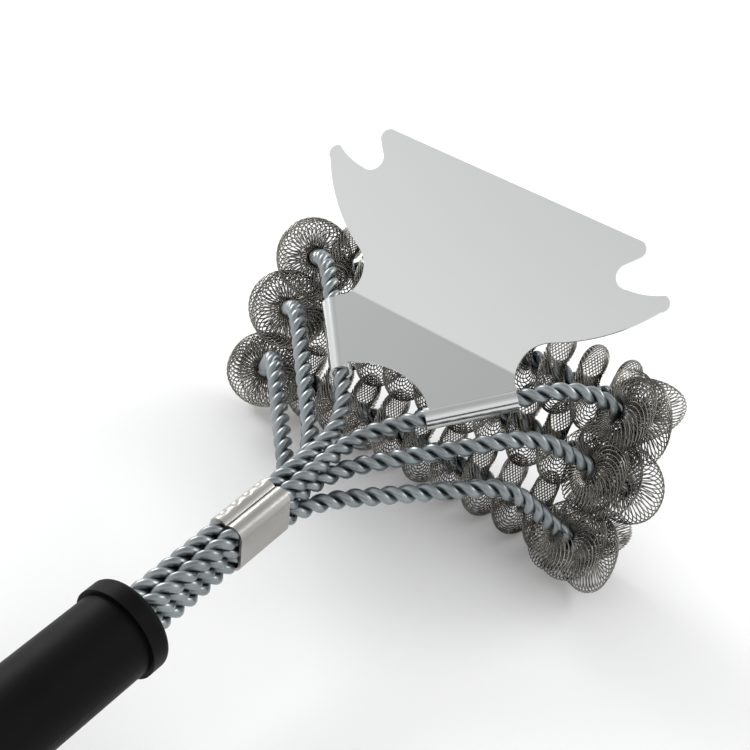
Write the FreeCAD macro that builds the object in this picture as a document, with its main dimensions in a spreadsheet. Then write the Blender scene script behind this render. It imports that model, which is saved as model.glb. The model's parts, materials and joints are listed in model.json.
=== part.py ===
import FreeCAD, Part

import math
import os

import Sketcher
from FreeCAD import Placement, Rotation, Vector

# A bristle-free grill brush. It is drawn in the brush's own axes: Y runs forward along the
# handle, X across the head and Z up towards the scraper, with the handle's axis at x = z = 0.
# Every sub-part then gets one placement that lays the brush on its lowest coil and its heel.

SIZES = [
    # handle
    ("grip_radius", 14.5, "outside of the moulded grip"),
    ("grip_bore", 11.5, "inside of the moulded grip"),
    ("grip_front", -88.0, "front end of the grip along the handle"),
    ("grip_length", 212.0, "length of the grip"),
    ("collar_radius", 16.0, "outside of the front collar"),
    ("collar_nose", 3.4, "wall of the collar in front of the grip"),
    ("collar_skirt", 4.0, "overlap of the collar on the grip"),
    ("collar_seat", 13.5, "radius of the grip's step that carries the collar"),
    ("collar_round", 2.2, "rounding of the collar's front rim"),
    ("core_length", 62.0, "length of the plug that holds the wire ends"),
    ("core_slack", 0.05, "gap between the grip and the pieces pressed on and into it"),
    ("slot_half_width", 5.9, "half width of the slot for the wires"),
    ("slot_half_height", 8.7, "half height of the slot for the wires"),
    ("slot_depth", 58.0, "depth of the slot in the plug"),
    ("cap_thickness", 6.0, "thickness of the end cap's disc"),
    ("cap_spigot", 12.0, "length of the end cap's spigot"),
    ("cap_round", 2.0, "rounding of the end cap's rim"),
    ("lug_thickness", 6.0, "thickness of the lug across the handle"),
    ("lug_radius", 5.0, "rounded end of the lug"),
    ("lug_reach", 7.0, "from the cap's face to the hole"),
    ("lug_hole", 1.55, "radius of the hole for the hanging ring"),
    # hanging ring
    ("ring_wire", 1.5, "radius of the ring's wire"),
    ("ring_half_width", 10.0, "half width of the ring's centre line"),
    ("ring_depth", 20.0, "depth of the ring's centre line"),
    ("ring_shoulder", 4.0, "bend radius beside the lug"),
    ("ring_droop", 30.0, "angle of the stored ring below the handle's axis, degrees"),
    # twisted wire strands
    ("wire_bar", 1.3, "radius of each wire drawn straight"),
    ("wire_spread", 1.45, "offset of each wire from its strand's centre"),
    ("strand_radius", 3.0, "outside radius of a twisted strand"),
    ("strand_pitch", 5.6, "spacing of the strands in the bundle"),
    ("strand_heel", -146.0, "rear end of the strands"),
    ("fork_bend", 40.0, "bend radius where an arm leaves the bundle"),
    ("corner_bend", 6.4, "bend radius at the ends of a crossbar"),
    ("top_fork", 25.7, "where the top arms leave the bundle"),
    ("top_knuckle_x", 57.0, "knuckle of the top arms, across"),
    ("top_knuckle_y", 82.0, "knuckle of the top arms, forward"),
    ("top_knuckle_z", 23.4, "knuckle of the top arms, up"),
    ("top_knuckle_bend", 30.0, "bend radius of the top knuckle"),
    ("top_half", 75.0, "half width of the top frame"),
    ("top_elbow_y", 97.5, "outer elbow of the top frame, forward"),
    ("top_elbow_z", 6.5, "outer elbow of the top frame, up"),
    ("top_bar_y", 108.0, "top crossbar, forward"),
    ("top_bar_z", 3.4, "top crossbar, up"),
    ("middle_fork", 7.4, "where the middle arms leave the bundle"),
    ("middle_knuckle_x", 54.0, "knuckle of the middle arms, across"),
    ("middle_knuckle_y", 60.8, "knuckle of the middle arms, forward"),
    ("middle_knuckle_z", 12.3, "knuckle of the middle arms, up"),
    ("middle_knuckle_bend", 32.0, "bend radius of the middle knuckle"),
    ("middle_half", 78.0, "half width of the middle frame"),
    ("middle_elbow_y", 86.5, "outer elbow of the middle frame, forward"),
    ("middle_elbow_z", -14.9, "outer elbow of the middle frame, up"),
    ("middle_bar_y", 98.5, "middle crossbar, forward"),
    ("middle_bar_z", -19.7, "middle crossbar, up"),
    ("bottom_fork", -5.6, "where the bottom arms leave the bundle"),
    ("bottom_knuckle_x", 53.0, "knuckle of the bottom arms, across"),
    ("bottom_knuckle_y", 46.8, "knuckle of the bottom arms, forward"),
    ("bottom_knuckle_z", -2.8, "knuckle of the bottom arms, up"),
    ("bottom_knuckle_bend", 24.0, "bend radius of the bottom knuckle"),
    ("bottom_half", 77.5, "half width of the bottom frame"),
    ("bottom_elbow_y", 73.0, "outer elbow of the bottom frame, forward"),
    ("bottom_elbow_z", -40.0, "outer elbow of the bottom frame, up"),
    ("bottom_bar_y", 85.5, "bottom crossbar, forward"),
    ("bottom_bar_z", -43.4, "bottom crossbar, up"),
    # coil springs wound round the crossbars
    ("coil_bore", 3.2, "radius of the way through a coil for its strand"),
    ("top_coil_radius", 13.4, "outside radius of the top coil"),
    ("middle_coil_radius", 11.1, "outside radius of the middle coil"),
    ("bottom_coil_radius", 15.5, "outside radius of the bottom coil"),
    # ferrule
    ("ferrule_front", -17.5, "front end of the ferrule"),
    ("ferrule_length", 24.5, "length of the ferrule"),
    ("ferrule_sheet", 1.0, "thickness of the ferrule's sheet"),
    # scraper
    ("scraper_sheet", 1.0, "thickness of the scraper's sheet"),
    ("fold_y", 70.4, "fold between the scraper's two plates, forward"),
    ("blade_angle", 46.0, "slope of the scraping blade, degrees"),
    ("fold_round", 2.5, "rounding inside the fold"),
    ("sleeve_bore", 3.1, "radius inside the rolled sleeves"),
    ("sleeve_inner", 23.3, "from the fork to the near end of a sleeve, along the arm"),
    ("sleeve_length", 33.0, "length of a rolled sleeve"),
]

doc = FreeCAD.newDocument("grill_brush")
sheet = doc.addObject("Spreadsheet::Sheet", "sizes")
for row, (alias, value, note) in enumerate(SIZES, start=1):
    sheet.set(f"A{row}", str(value))
    sheet.setAlias(f"A{row}", alias)
    sheet.set(f"B{row}", note)
doc.recompute()

ACROSS = Vector(1, 0, 0)
FORWARD = Vector(0, 1, 0)
UP = Vector(0, 0, 1)
sub_parts = []


def size(alias):
    return float(sheet.get(alias))


def bind(thing, **expressions):
    """Bind properties of a document object to cells of the sheet."""
    for name, expression in expressions.items():
        thing.setExpression(name, expression)


# ---------------------------------------------------------------- bodies and sketches


def new_body(label):
    body = doc.addObject("PartDesign::Body", label)
    body.Label = label
    sub_parts.append(body)
    return body


def origin_plane(body, role):
    return next(item for item in body.Origin.OriginFeatures if item.Role == role)


def new_sketch(body, name, role, offset=None):
    sketch = body.newObject("Sketcher::SketchObject", f"{body.Name}_{name}")
    sketch.AttachmentSupport = [(origin_plane(body, role), "")]
    sketch.MapMode = "FlatFace"
    sketch.AttachmentOffset = offset or Placement()
    return sketch


def across_handle(body, name, station):
    """A sketch square to the handle at y = station. Its normal points to the rear."""
    return new_sketch(body, name, "XZ_Plane", Placement(Vector(0, 0, -station), Rotation()))


def add_circle(sketch, alias, centre=None, expression=None):
    """A circle whose radius follows a cell, or an expression of cells."""
    place = centre or Vector()
    edge = sketch.addGeometry(Part.Circle(place, UP, size(alias)), False)
    radius = sketch.addConstraint(Sketcher.Constraint("Radius", edge, size(alias)))
    name = f"radius_{edge}"
    sketch.renameConstraint(radius, name)
    sketch.setExpression(f"Constraints.{name}", expression or f"sizes.{alias}")
    if centre is None:
        sketch.addConstraint(Sketcher.Constraint("Coincident", edge, 3, -1, 1))
    return edge


def add_rectangle(sketch, half_width, half_height):
    """A rectangle about the sketch's origin, its half sizes taken from two cells."""
    wide, high = size(half_width), size(half_height)
    corners = [Vector(wide, high), Vector(-wide, high), Vector(-wide, -high), Vector(wide, -high)]
    lines = [
        sketch.addGeometry(Part.LineSegment(start, end), False)
        for start, end in zip(corners, corners[1:] + corners[:1])
    ]
    for line, after in zip(lines, lines[1:] + lines[:1]):
        sketch.addConstraint(Sketcher.Constraint("Coincident", line, 2, after, 1))
    for line, kind in zip(lines, ["Horizontal", "Vertical"] * 2):
        sketch.addConstraint(Sketcher.Constraint(kind, line))
    sketch.addConstraint(Sketcher.Constraint("Symmetric", lines[0], 1, lines[2], 1, -1, 1))
    for line, name, alias in ((lines[0], "width", half_width), (lines[1], "height", half_height)):
        length = sketch.addConstraint(Sketcher.Constraint("Distance", line, 2 * size(alias)))
        sketch.renameConstraint(length, name)
        sketch.setExpression(f"Constraints.{name}", f"2 * sizes.{alias}")


def add_outline(sketch, path):
    """A closed outline. An entry is a corner, or a pair: a point that an arc passes, and its end."""
    corners = [step[-1] if isinstance(step, tuple) else step for step in path]
    for start, step in zip(corners[-1:] + corners[:-1], path):
        if isinstance(step, tuple):
            sketch.addGeometry(Part.Arc(start, step[0], step[1]), False)
        else:
            sketch.addGeometry(Part.LineSegment(start, step), False)


def add_pad(body, sketch, length, middle=False, reverse=False):
    pad = body.newObject("PartDesign::Pad", f"{sketch.Name}_pad")
    pad.Profile = sketch
    bind(pad, Length=length)
    if middle:
        pad.SideType = "Symmetric"
    pad.Reversed = reverse
    doc.recompute()
    return pad


def add_pocket(body, sketch, length, reverse=False):
    before = body.Shape.Volume
    pocket = body.newObject("PartDesign::Pocket", f"{sketch.Name}_pocket")
    pocket.Profile = sketch
    bind(pocket, Length=length)
    pocket.Reversed = reverse
    doc.recompute()
    if body.Shape.Volume > before - 1.0:
        raise RuntimeError(f"{pocket.Name} cuts nothing")
    return pocket


def add_fillet(body, radius, chosen):
    """Round the edges of the body's last feature that the test chooses."""
    tip = body.Tip
    names = [f"Edge{n}" for n, edge in enumerate(tip.Shape.Edges, start=1) if chosen(edge)]
    if not names:
        raise RuntimeError(f"{body.Label} has no edge to round")
    fillet = body.newObject("PartDesign::Fillet", f"{tip.Name}_round")
    fillet.Base = (tip, names)
    bind(fillet, Radius=radius)
    doc.recompute()
    return fillet


def is_rim(edge, radius, station):
    """True for a circle of that radius about the handle's axis at y = station."""
    if not isinstance(edge.Curve, Part.Circle) or abs(edge.Curve.Radius - radius) > 0.01:
        return False
    return abs(edge.Curve.Center.y - station) < 0.01


# ---------------------------------------------------------------- wire paths


def rounded_path(corners, radii):
    """Straight runs joined by tangent arcs, as one wire."""
    edges = []
    start = corners[0]
    for before, corner, after, radius in zip(corners, corners[1:], corners[2:], radii):
        back = (before - corner).normalize()
        ahead = (after - corner).normalize()
        half_turn = (math.pi - back.getAngle(ahead)) / 2
        reach = radius * math.tan(half_turn)
        inward = (back + ahead).normalize()
        centre = corner + inward * (radius / math.cos(half_turn))
        enter = corner + back * reach
        leave = corner + ahead * reach
        edges.append(Part.LineSegment(start, enter).toShape())
        edges.append(Part.Arc(enter, centre - inward * radius, leave).toShape())
        start = leave
    edges.append(Part.LineSegment(start, corners[-1]).toShape())
    return Part.Wire(edges)


def round_bar(path, radius):
    """A round bar along a path, checked against its section times its length."""
    first = path.Edges[0]
    start = first.valueAt(first.FirstParameter)
    ring = Part.Circle(start, first.tangentAt(first.FirstParameter), radius)
    bar = path.makePipeShell([Part.Wire(ring.toShape())], True, False)
    expected = math.pi * radius**2 * path.Length
    if abs(bar.Volume / expected - 1) > 0.01:
        raise RuntimeError(f"a bar of {expected:.0f} mm3 came out as {bar.Volume:.0f} mm3")
    return bar


def mirrored(points):
    return [Vector(-point.x, point.y, point.z) for point in points]


def frame_corners(row, level):
    """Corners of one frame's right half, from its heel in the handle to its crossbar."""
    beside = size("strand_pitch") / 2
    height = level * size("strand_pitch")
    half = size(f"{row}_half")
    return [
        Vector(beside, size("strand_heel"), height),
        Vector(beside, size(f"{row}_fork"), height),
        Vector(*[size(f"{row}_knuckle_{axis}") for axis in "xyz"]),
        Vector(half, size(f"{row}_elbow_y"), size(f"{row}_elbow_z")),
        Vector(half, size(f"{row}_bar_y"), size(f"{row}_bar_z")),
    ]


def frame_path(row, right_half):
    """The whole loop of one frame: handle, right arm, crossbar, left arm, handle."""
    bends = [size("fork_bend"), size(f"{row}_knuckle_bend"), size("corner_bend"), size("corner_bend")]
    return rounded_path(right_half + mirrored(right_half)[::-1], bends + bends[::-1])


def wire_corners(centre_line, side):
    """One wire of a strand: its centre line moved sideways, square to each corner's direction."""
    side_run = (centre_line[4] - centre_line[3]).normalize()
    corner_normal = ACROSS.cross(side_run).normalize()
    between = (UP + corner_normal).normalize()
    moved = []
    for index, normal in enumerate([UP, UP, between, corner_normal, corner_normal]):
        before = centre_line[max(index - 1, 0)]
        after = centre_line[index + 1] if index < 4 else centre_line[4] - ACROSS
        if index == 0:
            along = (after - before).normalize()
        else:
            into = (centre_line[index] - before).normalize()
            along = (into + (after - centre_line[index]).normalize()).normalize()
        offset = (normal - along * normal.dot(along)).normalize()
        moved.append(centre_line[index] + offset * (side * size("wire_spread")))
    return moved


# ---------------------------------------------------------------- handle


def make_grip():
    body = new_body("handle_grip")
    ring = across_handle(body, "section", size("grip_front"))
    add_circle(ring, "grip_radius")
    add_circle(ring, "grip_bore")
    add_pad(body, ring, "sizes.grip_length")
    step = across_handle(body, "step", size("grip_front"))
    add_circle(step, "grip_radius", expression="sizes.grip_radius + 1")
    add_circle(step, "collar_seat")
    add_pocket(body, step, "sizes.collar_skirt", reverse=True)


def make_collar():
    body = new_body("handle_collar")
    front = size("grip_front") + size("collar_nose")
    outside = across_handle(body, "outside", front)
    add_circle(outside, "collar_radius")
    add_pad(body, outside, "sizes.collar_nose + sizes.collar_skirt")
    skirt = across_handle(body, "skirt", size("grip_front"))
    add_circle(skirt, "collar_seat", expression="sizes.collar_seat + sizes.core_slack")
    add_pocket(body, skirt, "sizes.collar_skirt + 1", reverse=True)
    slot = across_handle(body, "slot", front)
    add_rectangle(slot, "slot_half_width", "slot_half_height")
    add_pocket(body, slot, "sizes.collar_nose + 1", reverse=True)
    add_fillet(body, "sizes.collar_round", lambda edge: is_rim(edge, size("collar_radius"), front))


def make_core():
    body = new_body("wire_core")
    plug = across_handle(body, "plug", size("grip_front"))
    add_circle(plug, "grip_bore", expression="sizes.grip_bore - sizes.core_slack")
    add_pad(body, plug, "sizes.core_length")
    slot = across_handle(body, "slot", size("grip_front"))
    add_rectangle(slot, "slot_half_width", "slot_half_height")
    add_pocket(body, slot, "sizes.slot_depth", reverse=True)


def make_end_cap():
    body = new_body("end_cap")
    heel = size("grip_front") - size("grip_length")
    disc = across_handle(body, "disc", heel)
    add_circle(disc, "grip_radius")
    add_pad(body, disc, "sizes.cap_thickness")
    face = heel - size("cap_thickness")
    add_fillet(body, "sizes.cap_round", lambda edge: is_rim(edge, size("grip_radius"), face))
    spigot = across_handle(body, "spigot", heel + size("cap_spigot"))
    add_circle(spigot, "grip_bore", expression="sizes.grip_bore - sizes.core_slack")
    add_pad(body, spigot, "sizes.cap_spigot + 1")
    lug = new_sketch(body, "lug", "YZ_Plane")
    root = face + 1.0
    hole = face - size("lug_reach")
    high = size("lug_radius")
    add_outline(
        lug,
        [
            Vector(root, high),
            Vector(hole, high),
            (Vector(hole - high, 0), Vector(hole, -high)),
            Vector(root, -high),
        ],
    )
    add_circle(lug, "lug_hole", centre=Vector(hole, 0))
    add_pad(body, lug, "sizes.lug_thickness", middle=True)


def make_hanging_ring():
    """A closed D of round wire. Its straight side turns in the lug's hole."""
    wide = size("ring_half_width")
    deep = size("ring_depth")
    shoulder = size("ring_shoulder")
    corners = [
        Vector(0, 0),
        Vector(wide, 0),
        Vector(wide, -deep),
        Vector(-wide, -deep),
        Vector(-wide, 0),
        Vector(0, 0),
    ]
    bow = wide * 0.98
    path = rounded_path(corners, [shoulder, bow, bow, shoulder])
    ring = doc.addObject("Part::Feature", "hanging_ring")
    ring.Label = "hanging_ring"
    ring.Shape = round_bar(path, size("ring_wire")).removeSplitter()
    pivot_y = size("grip_front") - size("grip_length") - size("cap_thickness") - size("lug_reach")
    ring.Placement = Placement(Vector(0, pivot_y, 0), Rotation(ACROSS, size("ring_droop")))
    sub_parts.append(ring)


# ---------------------------------------------------------------- head


def make_frame(row, level):
    """Two wires and the coil spring wound round their crossbar."""
    centre_line = frame_corners(row, level)
    for name, side in (("outer", 1), ("inner", -1)):
        wire = doc.addObject("Part::Feature", f"{row}_wire_{name}")
        wire.Label = f"{row}_wire_{name}"
        wire.Shape = round_bar(frame_path(row, wire_corners(centre_line, side)), size("wire_bar"))
        sub_parts.append(wire)
    way = doc.addObject("Part::Feature", f"{row}_strand_way")
    way.Shape = round_bar(frame_path(row, centre_line), size("coil_bore"))
    make_coil(row, way)


def make_coil(row, way):
    """A roller with round ends, pierced by the way of its strand."""
    half = size(f"{row}_half")
    along_x = Rotation(FORWARD, 90)
    bar = Vector(0, size(f"{row}_bar_y"), size(f"{row}_bar_z"))
    roller = doc.addObject("Part::Cylinder", f"{row}_roller")
    bind(roller, Radius=f"sizes.{row}_coil_radius", Height=f"2 * sizes.{row}_half")
    roller.Placement = Placement(bar - ACROSS * half, along_x)
    ends = []
    for name, side in (("right", 1), ("left", -1)):
        end = doc.addObject("Part::Sphere", f"{row}_{name}_end")
        bind(end, Radius=f"sizes.{row}_coil_radius")
        end.Placement = Placement(bar + ACROSS * (side * half), along_x)
        ends.append(end)
    whole = doc.addObject("Part::MultiFuse", f"{row}_coil_outside")
    whole.Shapes = [roller] + ends
    whole.Refine = True
    coil = doc.addObject("Part::Cut", f"{row}_coil")
    coil.Label = f"{row}_coil"
    coil.Base = whole
    coil.Tool = way
    sub_parts.append(coil)


def lobed_outline(margin):
    """Outline round the bundle at that distance: two lobes above and two below."""
    pitch = size("strand_pitch")
    beside = pitch / 2
    radius = beside + margin
    waist = pitch + math.sqrt(radius**2 - beside**2)
    slant = Vector(math.sin(math.radians(20)), math.cos(math.radians(20))) * radius
    top_right = Vector(beside, pitch) + slant
    top_left = Vector(-top_right.x, top_right.y)
    return [
        Vector(beside + radius, pitch),
        (top_right, Vector(0, waist)),
        (top_left, Vector(-beside - radius, pitch)),
        Vector(-beside - radius, -pitch),
        (-top_right, Vector(0, -waist)),
        (-top_left, Vector(beside + radius, -pitch)),
    ]


def make_ferrule():
    body = new_body("ferrule")
    outside = across_handle(body, "outside", size("ferrule_front"))
    add_outline(outside, lobed_outline(size("ferrule_sheet") + 0.05))
    add_pad(body, outside, "sizes.ferrule_length")
    inside = across_handle(body, "inside", size("ferrule_front"))
    add_outline(inside, lobed_outline(0.05))
    add_pocket(body, inside, "sizes.ferrule_length + 1", reverse=True)


def make_scraper():
    """One bent sheet: a sloping base between two rolled sleeves, and the scraping blade."""
    body = new_body("scraper")
    fork, knuckle = frame_corners("top", 1)[1:3]
    arm = (knuckle - fork).normalize()
    base_slope = math.degrees(math.atan2(arm.z, arm.y))
    lift = size("sleeve_bore") / math.cos(math.radians(base_slope))
    fold_z = fork.z + (size("fold_y") - fork.y) * arm.z / arm.y + lift
    fold = Vector(0, size("fold_y"), fold_z)

    base = new_sketch(body, "base", "XY_Plane", Placement(fold, Rotation(ACROSS, base_slope)))
    add_outline(base, base_outline())
    add_pad(body, base, "sizes.scraper_sheet")

    blade = new_sketch(body, "blade", "XY_Plane", Placement(fold, Rotation(ACROSS, size("blade_angle"))))
    add_outline(blade, blade_outline())
    add_pad(body, blade, "sizes.scraper_sheet")
    add_fillet(body, "sizes.fold_round", lambda edge: is_fold(edge, fold))

    near_end = fork + arm * size("sleeve_inner")
    rolled = new_sketch(body, "sleeve", "XY_Plane", Placement(near_end, Rotation(UP, arm)))
    add_circle(rolled, "sleeve_bore")
    add_circle(rolled, "sleeve_bore", expression="sizes.sleeve_bore + sizes.scraper_sheet")
    sleeve = add_pad(body, rolled, "sizes.sleeve_length")
    other = body.newObject("PartDesign::Mirrored", "scraper_other_sleeve")
    other.Originals = [sleeve]
    other.MirrorPlane = (origin_plane(body, "YZ_Plane"), [""])
    body.Tip = other


def is_fold(edge, fold):
    """True for the inner edge of the fold, which lies across the brush."""
    if not isinstance(edge.Curve, Part.Line) or edge.Length < 60:
        return False
    return abs(edge.tangentAt(0).x) > 0.999 and 0.1 < (edge.CenterOfMass - fold).Length < 1.5


def base_outline():
    """The base from its fold (v = 0) back to the arc cut between the sleeves."""
    half_fold = 36.4
    outer_end = Vector(40.6, -5.0)
    inner_end = Vector(19.2, -29.0)
    arc_top = Vector(0, -21.0)
    return [
        Vector(-half_fold, 0),
        (Vector(-37.9, -2.9), Vector(-outer_end.x, outer_end.y)),
        Vector(-inner_end.x, inner_end.y),
        (arc_top, inner_end),
        outer_end,
        (Vector(37.9, -2.9), Vector(half_fold, 0)),
    ]


def blade_outline():
    """The blade from its fold (v = 0) up to its edge, with a hooked notch at each side."""
    right = [
        (Vector(36.0, 9.0), Vector(43.0, 16.6)),
        (Vector(58.4, 26.9), Vector(71.6, 42.2)),
        (Vector(72.9, 46.6), Vector(70.4, 48.2)),
        (Vector(64.3, 45.5), Vector(57.4, 44.3)),
        (Vector(51.9, 46.1), Vector(51.6, 51.4)),
        Vector(56.0, 56.6),
        (Vector(56.3, 60.3), Vector(53.0, 62.0)),
    ]
    corners = [step[-1] if isinstance(step, tuple) else step for step in right]
    steps = [Vector(36.4, 0)] + right + [Vector(-corners[-1].x, corners[-1].y)]
    starts = [Vector(36.4, 0)] + corners[:-1]
    for step, start in reversed(list(zip(right, starts))):
        end = Vector(-start.x, start.y)
        if isinstance(step, tuple):
            steps.append((Vector(-step[0].x, step[0].y), end))
        else:
            steps.append(end)
    return steps


# ---------------------------------------------------------------- the resting brush


def lay_down():
    """Turn the brush until its lowest coil and its heel touch the ground, and centre it."""
    heel_y = size("grip_front") - size("grip_length") - size("cap_thickness") + size("cap_round")
    run = size("bottom_bar_y") - heel_y
    drop = size("bottom_bar_z") + size("grip_radius")
    tilt = math.asin(size("bottom_coil_radius") / math.hypot(run, drop)) - math.atan2(drop, run)
    turned = Placement(Vector(), Rotation(ACROSS, math.degrees(tilt)))
    for item in sub_parts:
        item.Placement = turned.multiply(item.Placement)
    doc.recompute()
    box = FreeCAD.BoundBox()
    for item in sub_parts:
        box.add(item.Shape.optimalBoundingBox(True, False))
    centre = Placement(Vector(-box.Center.x, -box.Center.y, -box.ZMin), Rotation())
    for item in sub_parts:
        item.Placement = centre.multiply(item.Placement)
    doc.recompute()
    print(f"tilt {math.degrees(tilt):.4f} deg, moved {-box.Center.y:.4f} {-box.ZMin:.4f} mm")
    print(f"size {box.XLength:.1f} x {box.YLength:.1f} x {box.ZLength:.1f} mm")


make_grip()
make_collar()
make_core()
make_end_cap()
make_hanging_ring()
make_frame("top", 1)
make_frame("middle", 0)
make_frame("bottom", -1)
make_ferrule()
make_scraper()
lay_down()

for item in doc.Objects:
    if "Invalid" in item.State or "Error" in item.State:
        raise RuntimeError(f"{item.Label} failed: {item.State}")
for item in sub_parts:
    if item.Shape.isNull() or not item.Shape.isValid():
        raise RuntimeError(f"{item.Label} has no valid shape")

os.makedirs("parts", exist_ok=True)
for item in sub_parts:
    item.Shape.exportStep(f"parts/{item.Label}.step")
    print(f"{item.Label}: {len(item.Shape.Solids)} solid, {item.Shape.Volume:.0f} mm3")
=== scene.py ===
import bisect
import json
import math

import bmesh
import bpy
from mathutils import Matrix, Quaternion, Vector


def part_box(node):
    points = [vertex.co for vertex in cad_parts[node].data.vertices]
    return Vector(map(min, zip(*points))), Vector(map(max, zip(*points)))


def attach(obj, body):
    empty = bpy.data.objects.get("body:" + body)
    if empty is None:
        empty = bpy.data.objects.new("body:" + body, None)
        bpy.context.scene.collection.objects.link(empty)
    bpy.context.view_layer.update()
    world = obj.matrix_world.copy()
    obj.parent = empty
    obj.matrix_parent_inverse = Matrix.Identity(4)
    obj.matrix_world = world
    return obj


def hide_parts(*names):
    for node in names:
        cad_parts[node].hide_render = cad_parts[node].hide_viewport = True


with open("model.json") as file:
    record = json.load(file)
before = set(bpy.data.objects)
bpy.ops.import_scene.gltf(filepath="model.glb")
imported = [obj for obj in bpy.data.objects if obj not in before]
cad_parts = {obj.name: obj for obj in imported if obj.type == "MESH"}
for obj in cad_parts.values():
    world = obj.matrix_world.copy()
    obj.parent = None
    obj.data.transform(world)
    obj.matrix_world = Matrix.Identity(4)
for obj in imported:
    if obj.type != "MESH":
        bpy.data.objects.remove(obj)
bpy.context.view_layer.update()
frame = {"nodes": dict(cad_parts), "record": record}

record = frame["record"]
nodes = frame["nodes"]
MM = 0.001

# ------------------------------------------------------------------ the brush's own axes
# The brush lies tilted. Its own axes have Y along the handle, Z towards the scraper and the
# handle's axis at x = z = 0, in millimetres. The grip mount gives the tilt and the place.

# where the grip mount's middle lies along the handle
GRIP_MID_Y = -198.0
grip_mount = next(m for m in record["mounts"] if m["name"] == "grip")
rear = Vector(grip_mount["axis"])
TILT = math.atan2(-rear.z, -rear.y)
turn = Matrix.Rotation(TILT, 4, "X")
shift = Vector(grip_mount["pos_m"]) - turn @ Vector((0.0, GRIP_MID_Y * MM, 0.0))
TO_ROW = Matrix.Translation(shift) @ turn @ Matrix.Scale(MM, 4)
FROM_ROW = TO_ROW.inverted()

UP = Vector((0.0, 0.0, 1.0))


def box_centre(node):
    """Centre of a CAD node in the brush's axes, in millimetres."""
    low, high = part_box(node)
    return FROM_ROW @ ((Vector(low) + Vector(high)) / 2)


# ------------------------------------------------------------------ mesh helpers


def new_object(name, verts, faces, material):
    """A smooth-shaded mesh given in the brush's axes, in millimetres."""
    mesh = bpy.data.meshes.new(name)
    mesh.from_pydata([TO_ROW @ Vector(v) for v in verts], [], faces)
    mesh.update()
    for face in mesh.polygons:
        face.use_smooth = True
    piece = bpy.data.objects.new(name, mesh)
    bpy.context.scene.collection.objects.link(piece)
    mesh.materials.append(material)
    return piece


def ring_faces(rings, sides):
    """Quads between successive rings of vertices, and one flat face over each end."""
    faces = []
    for i in range(rings - 1):
        for j in range(sides):
            k = (j + 1) % sides
            faces.append((i * sides + j, i * sides + k, (i + 1) * sides + k, (i + 1) * sides + j))
    last = (rings - 1) * sides
    faces.append(tuple(range(sides - 1, -1, -1)))
    faces.append(tuple(last + j for j in range(sides)))
    return faces


def tangents(points):
    """Unit directions along a list of points."""
    out = []
    last = len(points) - 1
    for i in range(len(points)):
        out.append((points[min(i + 1, last)] - points[max(i - 1, 0)]).normalized())
    return out


def carried_normals(along, first):
    """Normals carried along a curve without twist."""
    normal = (first - along[0] * first.dot(along[0])).normalized()
    out = [normal]
    for before, after in zip(along, along[1:]):
        normal = before.rotation_difference(after) @ out[-1]
        out.append((normal - after * normal.dot(after)).normalized())
    return out


def tube(points, radius, sides):
    """Vertices and faces of a round wire through the points."""
    along = tangents(points)
    across = carried_normals(along, along[0].orthogonal())
    angles = [2 * math.pi * j / sides for j in range(sides)]
    circle = [(math.cos(angle), math.sin(angle)) for angle in angles]
    verts = []
    for point, forward, side in zip(points, along, across):
        other = forward.cross(side)
        verts.extend(point + side * (radius * c) + other * (radius * s) for c, s in circle)
    return verts, ring_faces(len(points), sides)


# ------------------------------------------------------------------ the frames' centre lines

# from the middle of a strand to the middle of the next one, beside it or above it, in the bundle
STRAND_PITCH = 5.6
# rear end of the strands, inside the handle
HEEL_Y = -146.0
# bend radii where the arms leave the bundle and at the two corners before the crossbar
FORK_BEND = 40.0
CORNER_BEND = 6.4
# Each row's level in the bundle, where its arms fork (Y), the corner partway along its right
# arm, the bend radius there, and the corner where the arm turns towards the crossbar.
ROWS = {
    "top": {
        "level": 1,
        "fork": 25.7,
        "knuckle": (57.0, 82.0, 23.4),
        "bend": 30.0,
        "elbow": (75.0, 97.5, 6.5),
    },
    "middle": {
        "level": 0,
        "fork": 7.4,
        "knuckle": (54.0, 60.8, 12.3),
        "bend": 32.0,
        "elbow": (78.0, 86.5, -14.9),
    },
    "bottom": {
        "level": -1,
        "fork": -5.6,
        "knuckle": (53.0, 46.8, -2.8),
        "bend": 24.0,
        "elbow": (77.5, 73.0, -40.0),
    },
}


def rounded_points(corners, radii, step):
    """Points along straight runs joined by tangent arcs, about one step apart."""
    points = [corners[0]]

    def run_to(end):
        start = points[-1]
        count = max(1, round((end - start).length / step))
        points.extend(start.lerp(end, k / count) for k in range(1, count + 1))

    for before, corner, after, radius in zip(corners, corners[1:], corners[2:], radii):
        back = (before - corner).normalized()
        ahead = (after - corner).normalized()
        half_turn = (math.pi - back.angle(ahead)) / 2
        reach = radius * math.tan(half_turn)
        inward = (back + ahead).normalized()
        centre = corner + inward * (radius / math.cos(half_turn))
        run_to(corner + back * reach)
        enter = points[-1] - centre
        axis = enter.cross(corner + ahead * reach - centre).normalized()
        count = max(2, round(2 * half_turn * radius / step))
        for k in range(1, count + 1):
            points.append(centre + Quaternion(axis, 2 * half_turn * k / count) @ enter)
    run_to(corners[-1])
    return points


def frame_points(row, step):
    """Centre line of a row's strand, from the heel in the handle round the loop and back."""
    data = ROWS[row]
    bar = box_centre(f"{row}_coil")
    beside = STRAND_PITCH / 2
    height = data["level"] * STRAND_PITCH
    right = [
        Vector((beside, HEEL_Y, height)),
        Vector((beside, data["fork"], height)),
        Vector(data["knuckle"]),
        Vector(data["elbow"]),
        Vector((data["elbow"][0], bar.y, bar.z)),
    ]
    left = [Vector((-p.x, p.y, p.z)) for p in reversed(right)]
    bends = [FORK_BEND, data["bend"], CORNER_BEND, CORNER_BEND]
    return rounded_points(right + left, bends + bends[::-1], step)


def lengths(points):
    """Distance along the points from the first one."""
    out = [0.0]
    for a, b in zip(points, points[1:]):
        out.append(out[-1] + (b - a).length)
    return out


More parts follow.
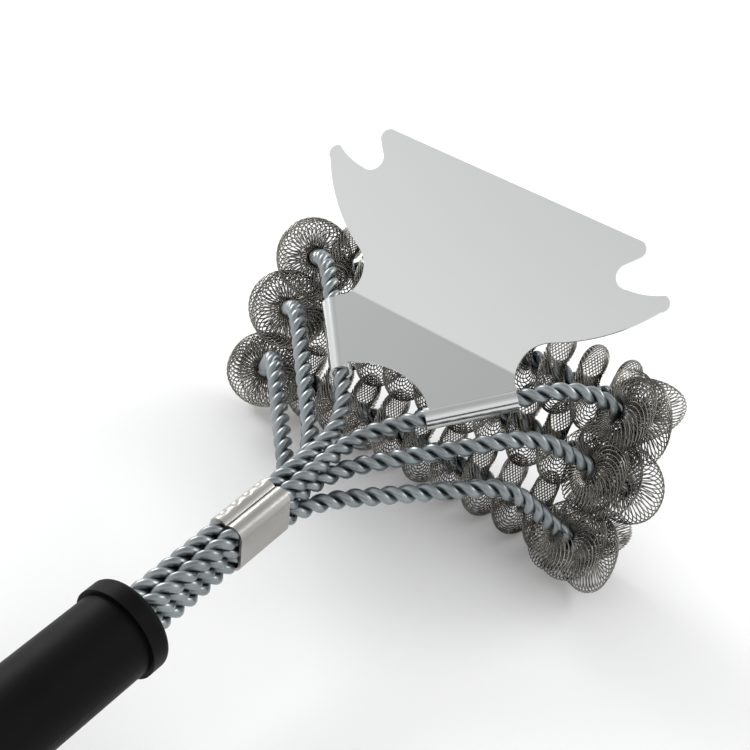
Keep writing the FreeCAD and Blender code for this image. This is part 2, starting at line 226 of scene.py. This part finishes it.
# ------------------------------------------------------------------ materials

# the part of a noise's range that a ramp or a map range spreads over
NOISE_LOW, NOISE_HIGH = 0.3, 0.7
# how deep a bump's marks are, in metres
METAL_MARKS = 0.0004
PLASTIC_GRAIN = 0.0003
# how much finer a metal's changes of roughness are than its changes of tone
ROUGHNESS_FINER = 2.3
# the noise scales of the plastic's tone, roughness and grain, and its faint gloss
PLASTIC_TONE, PLASTIC_ROUGHNESS, PLASTIC_FINENESS = 35.0, 70.0, 2600.0
PLASTIC_GLOSS = 0.08


def new_material(name, base, metallic, roughness):
    """A material, its node tree and its shader. What varies is linked over these plain values."""
    material = bpy.data.materials.new(name)
    material.use_nodes = True
    shader = material.node_tree.nodes["Principled BSDF"]
    shader.inputs["Base Color"].default_value = (*base, 1.0)
    shader.inputs["Metallic"].default_value = metallic
    shader.inputs["Roughness"].default_value = roughness
    return material, material.node_tree, shader


def noise(tree, scale, detail=4.0, stretch=(1.0, 1.0, 1.0)):
    """A noise texture in the object's own coordinates, stretched along an axis."""
    coords = tree.nodes.new("ShaderNodeTexCoord")
    mapping = tree.nodes.new("ShaderNodeMapping")
    mapping.inputs["Scale"].default_value = stretch
    texture = tree.nodes.new("ShaderNodeTexNoise")
    texture.inputs["Scale"].default_value = scale
    texture.inputs["Detail"].default_value = detail
    tree.links.new(coords.outputs["Object"], mapping.inputs["Vector"])
    tree.links.new(mapping.outputs["Vector"], texture.inputs["Vector"])
    return texture.outputs["Fac"]


def ramp(tree, fac, low, high):
    """Two colours mixed by a noise."""
    node = tree.nodes.new("ShaderNodeValToRGB")
    node.color_ramp.elements[0].position = NOISE_LOW
    node.color_ramp.elements[1].position = NOISE_HIGH
    node.color_ramp.elements[0].color = (*low, 1.0)
    node.color_ramp.elements[1].color = (*high, 1.0)
    tree.links.new(fac, node.inputs["Fac"])
    return node.outputs["Color"]


def vary(tree, shader, socket, fac, low, high):
    """A socket's value swings between two values with a noise."""
    node = tree.nodes.new("ShaderNodeMapRange")
    node.inputs["From Min"].default_value = NOISE_LOW
    node.inputs["From Max"].default_value = NOISE_HIGH
    node.inputs["To Min"].default_value = low
    node.inputs["To Max"].default_value = high
    tree.links.new(fac, node.inputs["Value"])
    tree.links.new(node.outputs["Result"], shader.inputs[socket])


def bump(tree, shader, fac, strength, distance):
    """Fine relief from a noise."""
    node = tree.nodes.new("ShaderNodeBump")
    node.inputs["Strength"].default_value = strength
    node.inputs["Distance"].default_value = distance
    tree.links.new(fac, node.inputs["Height"])
    tree.links.new(node.outputs["Normal"], shader.inputs["Normal"])


def metal(name, tones, roughness, patches, marks, stretch=(1, 1, 1)):
    """Bare metal with a slow change of tone and fine marks.

    patches is the scale of the tone's noise. marks is the bump's strength and its noise's scale.
    """
    material, tree, shader = new_material(name, tones[1], 1.0, roughness[1])
    tone = noise(tree, patches, detail=3.0, stretch=stretch)
    wear = noise(tree, patches * ROUGHNESS_FINER, detail=5.0, stretch=stretch)
    tree.links.new(ramp(tree, tone, *tones), shader.inputs["Base Color"])
    vary(tree, shader, "Roughness", wear, *roughness)
    strength, fineness = marks
    scratches = noise(tree, fineness, detail=3.0, stretch=stretch)
    bump(tree, shader, scratches, strength, METAL_MARKS)
    return material


rod_metal = metal(
    "rod_steel",
    tones=((0.22, 0.242, 0.252), (0.32, 0.35, 0.362)),
    roughness=(0.28, 0.40),
    patches=60.0,
    marks=(0.10, 900.0),
)
spring_metal = metal(
    "spring_steel",
    tones=((0.10, 0.095, 0.083), (0.40, 0.385, 0.345)),
    roughness=(0.14, 0.24),
    patches=90.0,
    marks=(0.02, 1200.0),
)
blade_metal = metal(
    "blade_steel",
    tones=((0.635, 0.645, 0.64), (0.65, 0.66, 0.655)),
    roughness=(0.15, 0.18),
    patches=9.0,
    marks=(0.004, 200.0),
)
ferrule_metal = metal(
    "ferrule_steel",
    tones=((0.36, 0.352, 0.33), (0.47, 0.46, 0.435)),
    roughness=(0.26, 0.36),
    patches=50.0,
    marks=(0.08, 700.0),
    stretch=(3, 1, 1),
)
ring_metal = metal(
    "ring_steel",
    tones=((0.50, 0.51, 0.52), (0.60, 0.61, 0.62)),
    roughness=(0.14, 0.22),
    patches=80.0,
    marks=(0.03, 900.0),
)


def plastic(name, tones, roughness, grain):
    """Moulded black plastic with a fine matt grain."""
    material, tree, shader = new_material(name, tones[1], 0.0, roughness[1])
    tone = noise(tree, PLASTIC_TONE)
    tree.links.new(ramp(tree, tone, *tones), shader.inputs["Base Color"])
    vary(tree, shader, "Roughness", noise(tree, PLASTIC_ROUGHNESS, detail=5.0), *roughness)
    bump(tree, shader, noise(tree, PLASTIC_FINENESS, detail=2.0), grain, PLASTIC_GRAIN)
    shader.inputs["Specular IOR Level"].default_value = PLASTIC_GLOSS
    return material


grip_plastic = plastic(
    "grip_plastic",
    tones=((0.0015, 0.0015, 0.0015), (0.0035, 0.0035, 0.0035)),
    roughness=(0.46, 0.54),
    grain=0.08,
)
core_plastic = plastic(
    "core_plastic",
    tones=((0.012, 0.012, 0.012), (0.02, 0.02, 0.02)),
    roughness=(0.55, 0.65),
    grain=0.10,
)

CAD_LOOKS = {
    "handle_grip": grip_plastic,
    "handle_collar": grip_plastic,
    "end_cap": grip_plastic,
    "wire_core": core_plastic,
    "hanging_ring": ring_metal,
    "scraper": blade_metal,
}
for node, look in CAD_LOOKS.items():
    mesh = nodes[node].data
    mesh.materials.clear()
    mesh.materials.append(look)

# ------------------------------------------------------------------ twisted wires

WIRE_RADIUS = 1.68
# one turn of the twist, along the strand
LAY = 12.2
WIRE_STEP = 0.65
WIRE_SIDES = 12
# where each row's twist starts, in degrees
PHASES = {"top": 0.0, "middle": 90.0, "bottom": 0.0}


def twisted_wires(row):
    """Two wires wound round each other along a row's whole loop."""
    centre = frame_points(row, WIRE_STEP)
    along = tangents(centre)
    normals = carried_normals(along, UP)
    travelled = lengths(centre)
    # whole turns, plus the carried normals' drift and a quarter turn between the two arms
    drift = UP.angle(normals[-1])
    if normals[-1].cross(UP).dot(along[-1]) < 0:
        drift = -drift
    twist = round(travelled[-1] / LAY) * 2 * math.pi + drift + math.pi / 2
    for index, name in enumerate(("outer", "inner")):
        start = math.radians(PHASES[row]) + index * math.pi
        line = []
        for point, forward, normal, s in zip(centre, along, normals, travelled):
            angle = start + twist * s / travelled[-1]
            offset = normal * math.cos(angle) + forward.cross(normal) * math.sin(angle)
            line.append(point + offset * WIRE_RADIUS)
        verts, faces = tube(line, WIRE_RADIUS, WIRE_SIDES)
        piece = new_object(f"{row}_twisted_wire_{name}", verts, faces, rod_metal)
        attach(piece, "brush")
        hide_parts(f"{row}_wire_{name}")


# ------------------------------------------------------------------ coil springs

# The fine wire's tube has its own radius, and its middle goes round the strand at the ring's.
RING_RADII = {"top": 9.4, "middle": 9.3, "bottom": 8.45}
TUBE_RADIUS = 6.6
# how far the loops lean from square across the tube
CANT = math.radians(45.0)
# from ring to ring along the strand, in the middle and over a length at each end
RING_PITCH = 14.3
END_PITCH = 8.0
END_LENGTH = 15.0
LOOPS_PER_RING = 40
# radius of the fine wire
FINE_WIRE = 0.27
LOOP_STEPS = 24
FINE_SIDES = 3
COIL_STEP = 0.8
# the loops grow and shrink by this share, and by this many radians a loop
SWELL = 0.03
SWELL_RATE = 0.37
# how far inside the elbow's x the coil's reach is counted from
ELBOW_INSET = 1.5
# how far each coil reaches back along the arms from its two elbows, right and left
WRAPS = {"top": (9.0, 8.0), "middle": (16.0, 9.0), "bottom": (15.0, 10.0)}
# where each row's rings stand round the strand at its middle, in degrees
RING_PHASES = {"top": 90.0, "middle": 270.0, "bottom": 90.0}


def coil_span(row, centre, travelled):
    """Where the coil starts and ends along the loop."""
    corner_x = ROWS[row]["elbow"][0] - ELBOW_INSET
    corner = next(s for p, s in zip(centre, travelled) if p.x > corner_x)
    right_wrap, left_wrap = WRAPS[row]
    return corner - right_wrap, travelled[-1] - corner + left_wrap


def coil_spring(row):
    """A fine wire wound into a springy tube, and the tube wound round the row's strand.

    The tube's rings lie close together at the coil's two ends, and its loops lean.
    """
    centre = frame_points(row, COIL_STEP)
    travelled = lengths(centre)
    along = tangents(centre)
    normals = carried_normals(along, UP)
    first, last = coil_span(row, centre, travelled)
    end_rings = END_LENGTH / END_PITCH
    rings = 2 * end_rings + (last - first - 2 * END_LENGTH) / RING_PITCH
    loops = round(rings * LOOPS_PER_RING)
    ring_radius = RING_RADII[row]
    lean = TUBE_RADIUS * math.sin(CANT) / (2 * math.pi * ring_radius)

    def distance_at(turns):
        """Distance along the strand after that many rings."""
        if turns < end_rings:
            return first + turns * END_PITCH
        if turns > rings - end_rings:
            return last - (rings - turns) * END_PITCH
        return first + END_LENGTH + (turns - end_rings) * RING_PITCH

    line = []
    for i in range(loops * LOOP_STEPS + 1):
        angle = 2 * math.pi * i / LOOP_STEPS
        turns = rings * i / (loops * LOOP_STEPS) + lean * math.sin(angle)
        s = distance_at(turns)
        seen = bisect.bisect_right(travelled, s) - 1
        part = (s - travelled[seen]) / (travelled[seen + 1] - travelled[seen])
        point = centre[seen].lerp(centre[seen + 1], part)
        forward = along[seen].lerp(along[seen + 1], part).normalized()
        normal = normals[seen].lerp(normals[seen + 1], part).normalized()
        ring_angle = 2 * math.pi * (turns - rings / 2) + math.radians(RING_PHASES[row])
        outward = normal * math.cos(ring_angle) + forward.cross(normal) * math.sin(ring_angle)
        swell = 1.0 + SWELL * math.sin(SWELL_RATE * i / LOOP_STEPS)
        reach = ring_radius + TUBE_RADIUS * math.cos(angle) * swell
        sideways = TUBE_RADIUS * math.cos(CANT) * math.sin(angle) * swell
        line.append(point + outward * reach + forward * sideways)
    verts, faces = tube(line, FINE_WIRE, FINE_SIDES)
    piece = new_object(f"{row}_spring", verts, faces, spring_metal)
    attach(piece, "brush")
    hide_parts(f"{row}_coil")


# ------------------------------------------------------------------ ferrule

FERRULE_SHEET = 1.0
# between the bundle and the sheet
FERRULE_GAP = 0.05
FERRULE_FRONT = -17.5
FERRULE_LENGTH = 24.5
SEAM_HALF = 0.12
AROUND_STEPS = 24
LENGTH_STEPS = 74
# the pressed dimples lie in a row on the lobe left of the seam
DIMPLE_LOBE = 3
DIMPLES = 4
DIMPLE_ANGLE = math.radians(122.0)
DIMPLE_DEPTH = 0.6
DIMPLE_RADIUS = 1.5
# from each end of the ferrule to its nearest dimple, in spacings
DIMPLE_START = 0.6


def lobed_profile(margin, steps):
    """Points round the bundle, from the seam's right side to its left: x, z, lobe and angle."""
    beside = STRAND_PITCH / 2
    radius = beside + margin
    end = math.acos((SEAM_HALF - beside) / radius)
    lobes = [
        (beside, STRAND_PITCH, end, 0.0),
        (beside, -STRAND_PITCH, 0.0, -end),
        (-beside, -STRAND_PITCH, end - math.pi, -math.pi),
        (-beside, STRAND_PITCH, math.pi, math.pi - end),
    ]
    out = []
    for number, (x, z, start, stop) in enumerate(lobes):
        for k in range(steps + 1):
            angle = start + (stop - start) * k / steps
            out.append((x + radius * math.cos(angle), z + radius * math.sin(angle), number, angle))
    return out


def ferrule():
    """A sheet wrapped round the bundle, with a seam in the top valley and a row of dimples."""
    outside = lobed_profile(FERRULE_GAP + FERRULE_SHEET, AROUND_STEPS)
    inside = lobed_profile(FERRULE_GAP, AROUND_STEPS)
    width = len(outside)
    verts = []
    for layer in (outside, inside):
        for v in range(LENGTH_STEPS + 1):
            back = FERRULE_LENGTH * v / LENGTH_STEPS
            y = FERRULE_FRONT - back
            for x, z, lobe, angle in layer:
                dent = 0.0
                if lobe == DIMPLE_LOBE:
                    arc = (angle - DIMPLE_ANGLE) * (STRAND_PITCH / 2 + FERRULE_SHEET)
                    for k in range(DIMPLES):
                        place = (k + DIMPLE_START) / (DIMPLES - 1 + 2 * DIMPLE_START)
                        run = back - FERRULE_LENGTH * place
                        away = (arc**2 + run**2) / DIMPLE_RADIUS**2
                        dent += DIMPLE_DEPTH * math.exp(-(away**2))
                verts.append((x - dent * math.cos(angle), y, z - dent * math.sin(angle)))
    inner = width * (LENGTH_STEPS + 1)
    faces = []
    for v in range(LENGTH_STEPS):
        for k in range(width - 1):
            a, b = v * width + k, v * width + k + 1
            c, d = b + width, a + width
            faces.append((a, b, c, d))
            faces.append((inner + d, inner + c, inner + b, inner + a))
        for k in (0, width - 1):
            a, d = v * width + k, (v + 1) * width + k
            faces.append((a, d, inner + d, inner + a) if k == 0 else (d, a, inner + a, inner + d))
    for k in range(width - 1):
        last = LENGTH_STEPS * width
        faces.append((k + 1, k, inner + k, inner + k + 1))
        faces.append((last + k, last + k + 1, inner + last + k + 1, inner + last + k))
    piece = new_object("ferrule_sheet", verts, faces, ferrule_metal)
    sharpen(piece)
    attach(piece, "brush")
    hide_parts("ferrule")


SHARP_ANGLE = math.radians(40.0)


def sharpen(piece):
    """Consistent normals, and a hard edge wherever faces meet at more than the sharp angle."""
    piece.data.validate()
    mesh = bmesh.new()
    mesh.from_mesh(piece.data)
    bmesh.ops.recalc_face_normals(mesh, faces=mesh.faces)
    for edge in mesh.edges:
        edge.smooth = edge.calc_face_angle(0.0) < SHARP_ANGLE
    mesh.to_mesh(piece.data)
    mesh.free()


ferrule()
for row in ROWS:
    twisted_wires(row)
    coil_spring(row)

# ------------------------------------------------------------------ floor, light and camera

FLOOR_HALF = 6.0
FLOOR_SIGNS = ((-1, -1), (1, -1), (1, 1), (-1, 1))
FLOOR_TONES = ((0.94, 0.94, 0.94), (0.96, 0.96, 0.96))
floor_mesh = bpy.data.meshes.new("floor")
corners = [(FLOOR_HALF * x, FLOOR_HALF * y, 0.0) for x, y in FLOOR_SIGNS]
floor_mesh.from_pydata(corners, [], [(0, 1, 2, 3)])
floor = bpy.data.objects.new("floor", floor_mesh)
bpy.context.scene.collection.objects.link(floor)
floor_look, floor_tree, floor_shader = new_material("floor_white", (0.9, 0.9, 0.9), 0.0, 0.7)
floor_tree.links.new(
    ramp(floor_tree, noise(floor_tree, 2.0), *FLOOR_TONES),
    floor_shader.inputs["Base Color"],
)
floor_shader.inputs["Specular IOR Level"].default_value = 0.0
floor_mesh.materials.append(floor_look)

# The studio is white to the sides and greyer overhead, by the height of the direction.
SIDES_TO, OVERHEAD_FROM = 0.60, 0.97
SIDE_WHITE = (1.10, 1.10, 1.10, 1.0)
OVERHEAD_GREY = (0.60, 0.605, 0.61, 1.0)
WORLD_STRENGTH = 0.95
world = bpy.data.worlds.new("studio")
bpy.context.scene.world = world
world.use_nodes = True
sky = world.node_tree
height = sky.nodes.new("ShaderNodeSeparateXYZ")
direction = sky.nodes.new("ShaderNodeTexCoord")
sky.links.new(direction.outputs["Generated"], height.inputs["Vector"])
tone = sky.nodes.new("ShaderNodeValToRGB")
tone.color_ramp.elements[0].position = SIDES_TO
tone.color_ramp.elements[0].color = SIDE_WHITE
tone.color_ramp.elements[1].position = OVERHEAD_FROM
tone.color_ramp.elements[1].color = OVERHEAD_GREY
sky.links.new(height.outputs["Z"], tone.inputs["Fac"])
sky.links.new(tone.outputs["Color"], sky.nodes["Background"].inputs["Color"])
sky.nodes["Background"].inputs["Strength"].default_value = WORLD_STRENGTH


# the point that both lights face, near the middle of the brush
LIGHT_AIM = (0, 0.05, 0.03)


def soft_box(name, place, size, power):
    """An area light at a place, turned towards the brush."""
    light = bpy.data.lights.new(name, "AREA")
    light.shape = "RECTANGLE"
    light.size, light.size_y = size
    light.energy = power
    lamp = bpy.data.objects.new(name, light)
    lamp.location = place
    lamp.rotation_euler = (Vector(LIGHT_AIM) - Vector(place)).to_track_quat("-Z", "Y").to_euler()
    bpy.context.scene.collection.objects.link(lamp)


soft_box("key", place=(-1.2, 0.5, 0.8), size=(0.7, 0.5), power=9.0)
soft_box("back", place=(0.7, 1.3, 0.9), size=(0.9, 0.4), power=6.0)

# A dark card in front and to the right gives the bright metal its dark lines. It shows in
# reflections alone: the camera and matt surfaces don't see it, and it casts no shadow.
CARD_ENDS = ((1.3, -0.5), (0.1, -1.5))
CARD_BOTTOM, CARD_TOP = 0.03, 0.42
CARD_TONES = ((0.04, 0.045, 0.055), (0.06, 0.065, 0.075))
card_mesh = bpy.data.meshes.new("dark_card")
low_edge = [(x, y, CARD_BOTTOM) for x, y in CARD_ENDS]
high_edge = [(x, y, CARD_TOP) for x, y in reversed(CARD_ENDS)]
card_mesh.from_pydata(low_edge + high_edge, [], [(0, 1, 2, 3)])
card = bpy.data.objects.new("dark_card", card_mesh)
bpy.context.scene.collection.objects.link(card)
card_look, card_tree, card_shader = new_material("card_grey", (0.05, 0.055, 0.065), 0.0, 0.9)
card_tree.links.new(
    ramp(card_tree, noise(card_tree, 3.0), *CARD_TONES),
    card_shader.inputs["Base Color"],
)
card_mesh.materials.append(card_look)
card.visible_camera = False
card.visible_shadow = False
card.visible_diffuse = False

# The camera's place and its direction, in the brush's axes.
CAMERA_PLACE = (204.4, -293.5, 333.6)
AZIMUTH = math.radians(31.85)
ELEVATION = math.radians(38.62)
ROLL = math.radians(7.14)
LENS = 68.67
SENSOR = 36.0
NEAREST = 0.01

ahead = Vector((-math.sin(AZIMUTH), math.cos(AZIMUTH), 0.0))
view_dir = ahead * math.cos(ELEVATION) - UP * math.sin(ELEVATION)
level = Vector((math.cos(AZIMUTH), math.sin(AZIMUTH), 0.0))
upward = level.cross(view_dir)
right = level * math.cos(ROLL) + upward * math.sin(ROLL)
top = upward * math.cos(ROLL) - level * math.sin(ROLL)
rotation = Matrix((right, top, -view_dir)).transposed().to_4x4()
camera_data = bpy.data.cameras.new("camera")
camera_data.lens = LENS
camera_data.sensor_width = SENSOR
camera_data.clip_start = NEAREST
camera = bpy.data.objects.new("camera", camera_data)
camera.matrix_world = Matrix.Translation(TO_ROW @ Vector(CAMERA_PLACE)) @ turn @ rotation
bpy.context.scene.collection.objects.link(camera)
bpy.context.scene.camera = camera
bpy.context.scene.view_settings.view_transform = "Standard"
